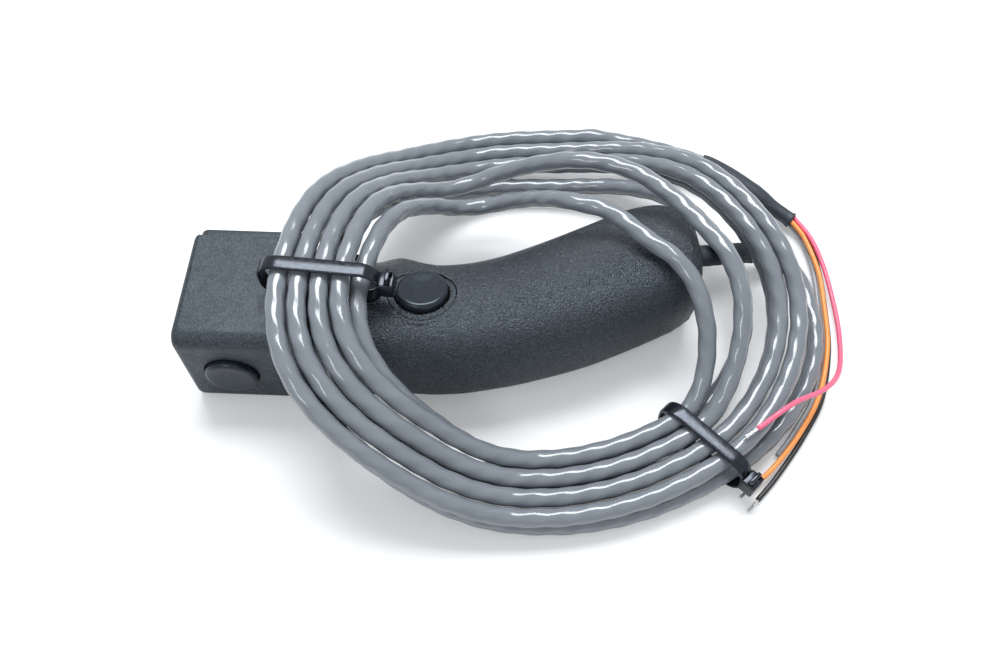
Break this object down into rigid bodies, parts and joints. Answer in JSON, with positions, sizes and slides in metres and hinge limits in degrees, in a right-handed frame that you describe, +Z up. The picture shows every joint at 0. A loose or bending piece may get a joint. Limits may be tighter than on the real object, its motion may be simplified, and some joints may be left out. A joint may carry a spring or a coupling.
{
  "type": "handheld control unit",
  "caption": "Box-headed curved hand grip with push buttons for thumb and fingers, and a coiled signal cable held by ties.",
  "frame": {"origin": "centre of the handle's box on the surface that it lies on, without the cable", "axes": "+X along the handle from the head to the grip's end, +Y from the thumb button's face to the cover, +Z up"},
  "size_m": [0.2076, 0.1471, 0.0515],
  "materials": {
    "housing": "fine textured black",
    "button": "smooth satin black",
    "gasket": "dark rubber",
    "steel": "plated steel",
    "dark_steel": "blackened steel",
    "brass": "turned brass",
    "switch": "moulded phenolic",
    "ivory": "moulded block",
    "loom": "bundled wires",
    "cable": "grey vinyl jacket",
    "rubber": "black sleeve",
    "red": "vinyl insulation",
    "orange": "vinyl insulation",
    "black_wire": "vinyl insulation",
    "grey_wire": "vinyl insulation",
    "tinned": "tinned copper strands",
    "nylon": "black nylon"
  },
  "bodies": {
    "handle": {"grip_housing": "housing", "head_cover": "housing", "cover_gasket": "gasket", "cover_screws": "steel", "side_ring": "housing", "thumb_spring": "steel", "thumb_bush": "brass", "thumb_nut": "brass", "thumb_switch": "switch", "thumb_terminals": "brass", "side_spring": "steel", "side_bush": "brass", "side_nut": "brass", "side_switch": "switch", "side_terminals": "brass", "trigger_spring": "steel", "trigger_bush": "brass", "trigger_nut": "brass", "trigger_switch": "switch", "trigger_terminals": "brass", "terminal_block": "ivory", "block_screws": "steel", "wire_loom": "loom", "inner_cable": "cable", "cable_clamp": "steel", "clamp_screws": "steel", "set_screw": "dark_steel", "entry_ferrule": "rubber", "cable_sleeve": "rubber", "cable_exit": "cable", "cable_coil": "cable", "cable_tail": "cable", "heat_shrink": "rubber", "red_lead": "red", "orange_lead": "orange", "black_lead": "black_wire", "grey_lead": "grey_wire", "bared_ends": "tinned", "tie_left": "nylon", "tie_right": "nylon"},
    "thumb_button": {"thumb_cap": "button", "thumb_plunger": "steel"},
    "side_button": {"side_cap": "button", "side_plunger": "steel"},
    "trigger_button": {"trigger_cap": "button", "trigger_plunger": "steel"}
  },
  "joints": [
    {"name": "thumb_press", "type": "slide", "parent": "handle", "child": "thumb_button", "axis": [0, 1, 0], "range_m": [0, 0.0018], "stiffness_N_per_m": 500, "springref_m": -0.003, "deforming": ["thumb_spring"]},
    {"name": "side_press", "type": "slide", "parent": "handle", "child": "side_button", "axis": [0, -0.2079, -0.9781], "range_m": [0, 0.0018], "stiffness_N_per_m": 500, "springref_m": -0.003, "deforming": ["side_spring"]},
    {"name": "trigger_press", "type": "slide", "parent": "handle", "child": "trigger_button", "axis": [0, -1, 0], "range_m": [0, 0.0018], "stiffness_N_per_m": 500, "springref_m": -0.003, "deforming": ["trigger_spring"]}
  ]
}
